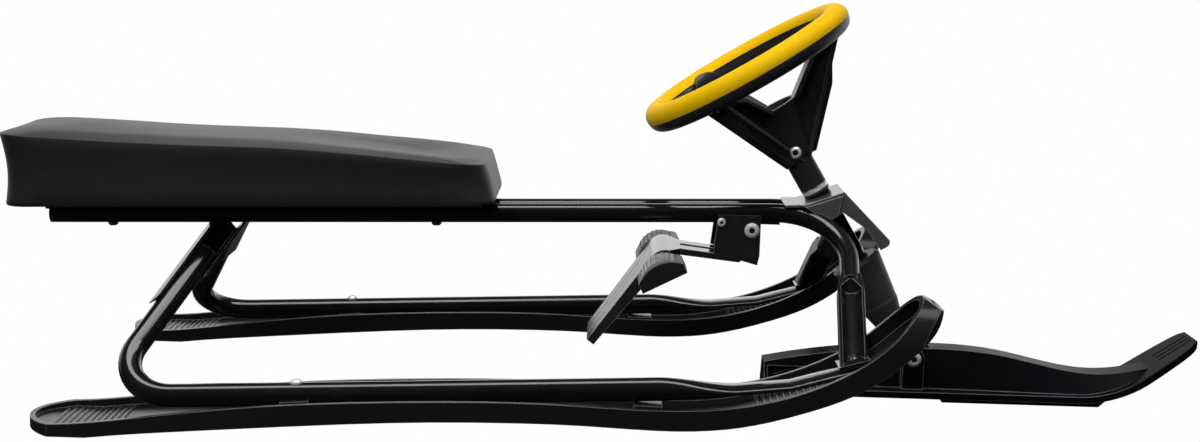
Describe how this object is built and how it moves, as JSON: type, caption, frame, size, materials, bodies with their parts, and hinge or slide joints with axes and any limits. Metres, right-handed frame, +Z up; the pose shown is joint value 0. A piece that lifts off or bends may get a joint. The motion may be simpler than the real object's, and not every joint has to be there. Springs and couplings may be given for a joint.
{
  "type": "steering sled",
  "caption": "Snow sled with a padded bench on tube rails, side runners on bent tubes, a raked steering wheel that turns a pivoting front ski, and a foot brake with a claw.",
  "frame": {"origin": "On the snow under the middle of the sled's length and width.", "axes": "X forward towards the ski's tip, Y to the rider's left, Z up."},
  "size_m": [1.2043, 0.505, 0.402],
  "materials": {
    "gloss_black": "gloss black enamel on steel tube and sheet",
    "black_moulding": "satin black moulded plastic",
    "grey_tread": "dark grey ribbed rubber",
    "yellow_grip": "yellow moulded grip, satin",
    "seat_vinyl": "black grained vinyl over foam",
    "seat_ply": "dark plywood",
    "bright_steel": "zinc-plated steel"
  },
  "bodies": {
    "frame": {"left_rail": "gloss_black", "right_rail": "gloss_black", "left_runner_tube": "gloss_black", "right_runner_tube": "gloss_black", "left_leg_bracket": "gloss_black", "right_leg_bracket": "gloss_black", "rear_cross_plate": "gloss_black", "left_runner": "black_moulding", "right_runner": "black_moulding", "rail_end_plugs": "black_moulding", "runner_screws": "bright_steel", "foot_screws": "gloss_black", "seat_board": "seat_ply", "seat_cushion": "seat_vinyl", "seat_bolts": "gloss_black", "head_bracket": "gloss_black", "left_head_gusset": "gloss_black", "right_head_gusset": "gloss_black", "head_tube": "gloss_black", "upper_head_bush": "black_moulding", "lower_head_bush": "black_moulding", "brake_box": "gloss_black", "brake_pivot_screw": "bright_steel", "brake_pivot_nut": "bright_steel", "box_rivets": "bright_steel", "brake_spring": "gloss_black"},
    "steering": {"steering_shaft": "bright_steel", "column_washer": "bright_steel", "column_nut": "bright_steel", "wheel_spider": "black_moulding", "rim_core": "black_moulding", "rim_grip": "yellow_grip", "rim_screws": "bright_steel", "hub_bolt": "bright_steel", "hub_nut": "bright_steel", "column_cover": "black_moulding", "column_collar": "black_moulding", "ski_yoke": "bright_steel"},
    "ski": {"front_ski": "black_moulding", "ski_pivot_bolt": "bright_steel", "ski_pivot_nut": "bright_steel"},
    "brake": {"brake_lever": "black_moulding", "left_pedal": "black_moulding", "right_pedal": "black_moulding", "left_pedal_tread": "grey_tread", "right_pedal_tread": "grey_tread"}
  },
  "joints": [
    {"name": "steering_turn", "type": "hinge", "parent": "frame", "child": "steering", "pos_m": [0.2049, 0, 0.2107], "axis": [-0.5225, 0, 0.8526], "range_deg": [-35, 35]},
    {"name": "ski_pitch", "type": "hinge", "parent": "steering", "child": "ski", "pos_m": [0.308, 0, 0.0469], "axis": [0, -1, 0], "range_deg": [-12, 20]},
    {"name": "brake_press", "type": "hinge", "parent": "frame", "child": "brake", "pos_m": [0.1382, 0, 0.174], "axis": [0, -1, 0], "range_deg": [0, 20], "stiffness_Nm_per_rad": 2, "springref_deg": -22.92, "deforming": ["brake_spring"]}
  ]
}
